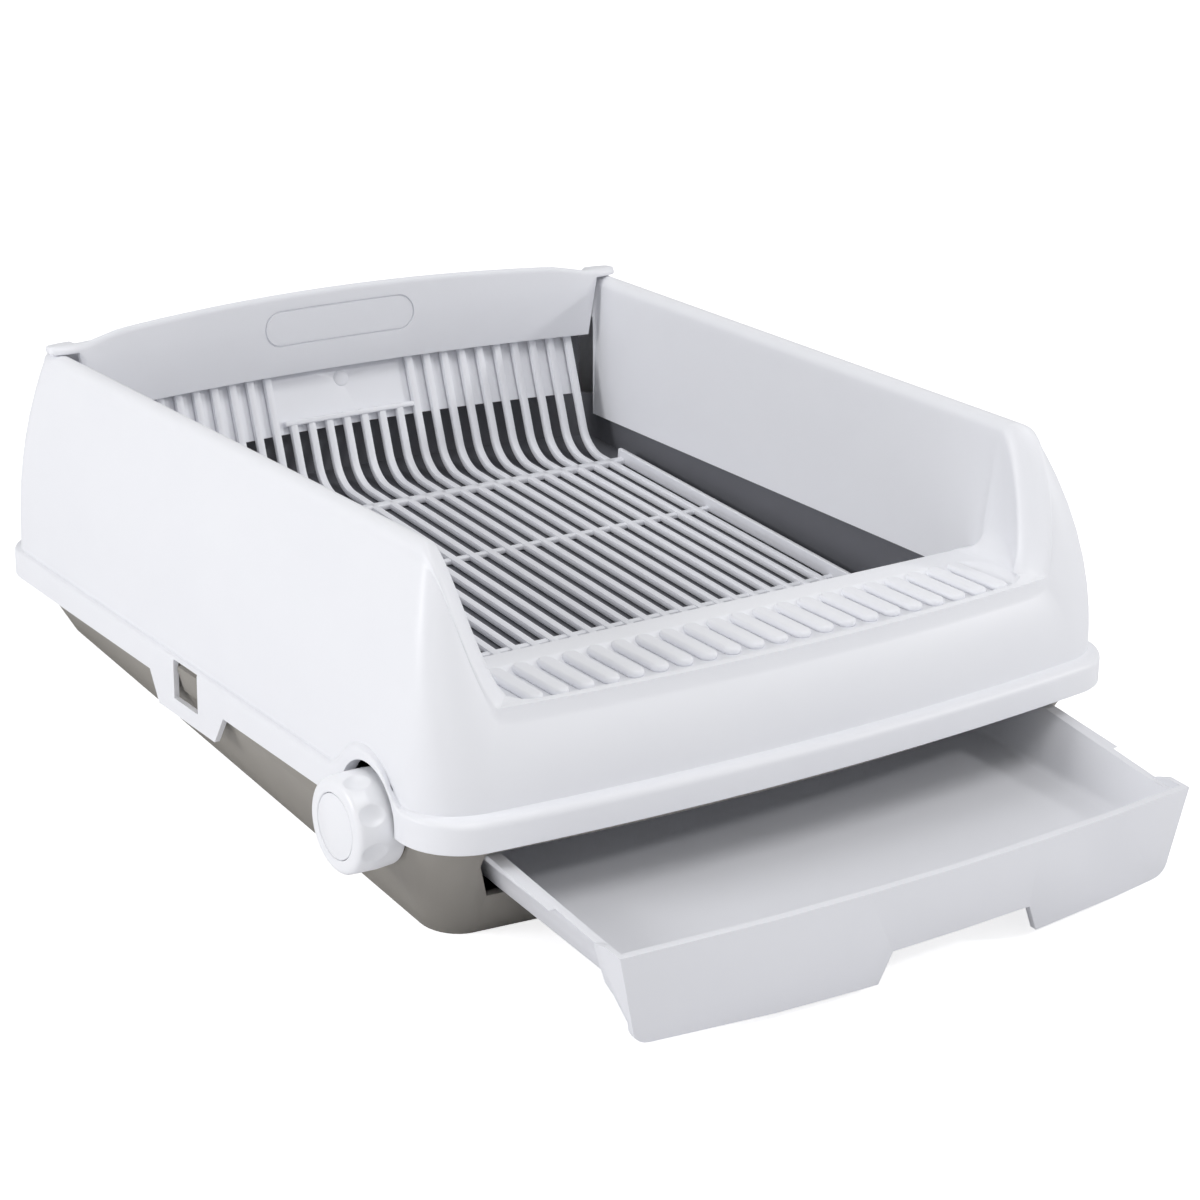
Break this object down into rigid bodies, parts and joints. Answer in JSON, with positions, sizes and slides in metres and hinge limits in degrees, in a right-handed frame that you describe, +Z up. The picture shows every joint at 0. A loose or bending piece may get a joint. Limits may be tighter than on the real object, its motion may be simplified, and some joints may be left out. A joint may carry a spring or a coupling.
{
  "type": "drawer litter box",
  "caption": "Open-top cat litter box on a tapered base, with a lift-up sifting comb, a knob-turned dump gate under the entry tread and a slide-out waste drawer.",
  "frame": {"origin": "on the floor, under the middle of the upper body's skirt (the knob side isn't counted)", "axes": "+Z up, -Y towards the entry tread and the drawer, -X towards the knob"},
  "size_m": [0.4475, 0.6077, 0.1967],
  "materials": {
    "white_plastic": "fine satin, moulded",
    "comb_plastic": "satin, moulded",
    "drawer_plastic": "satin, moulded",
    "knob_plastic": "smooth, slightly glossy",
    "taupe_plastic": "satin, moulded",
    "tray_plastic": "satin, moulded",
    "bush_plastic": "smooth",
    "foot_rubber": "matte",
    "screw_steel": "zinc plated"
  },
  "bodies": {
    "box": {"base_pan": "taupe_plastic", "rubber_feet": "foot_rubber", "litter_tray": "tray_plastic", "shroud": "white_plastic", "left_bush": "bush_plastic", "right_bush": "bush_plastic", "left_bearing_cap": "taupe_plastic", "right_bearing_cap": "taupe_plastic", "bearing_screws": "screw_steel", "gate_spring": "screw_steel"},
    "comb": {"sifting_comb": "comb_plastic", "handle_panel": "white_plastic", "handle_screws": "screw_steel", "rear_guard": "comb_plastic", "guard_rivet": "comb_plastic"},
    "gate": {"dump_gate": "comb_plastic", "gate_shaft": "screw_steel", "gate_pins": "screw_steel", "spring_collar": "screw_steel", "shaft_clip": "screw_steel", "knob": "knob_plastic", "knob_cap": "knob_plastic", "knob_screw": "screw_steel"},
    "drawer": {"drawer": "drawer_plastic"}
  },
  "joints": [
    {"name": "drawer_slide", "type": "slide", "parent": "box", "child": "drawer", "axis": [0, -1, 0], "range_m": [-0.103, 0.1]},
    {"name": "comb_lift", "type": "hinge", "parent": "box", "child": "comb", "pos_m": [0, -0.1875, 0.064], "axis": [1, 0, 0], "range_deg": [0, 52]},
    {"name": "gate_turn", "type": "hinge", "parent": "box", "child": "gate", "pos_m": [0, -0.1875, 0.064], "axis": [1, 0, 0], "range_deg": [0, 140], "stiffness_Nm_per_rad": 0.02, "springref_deg": -40.11}
  ]
}
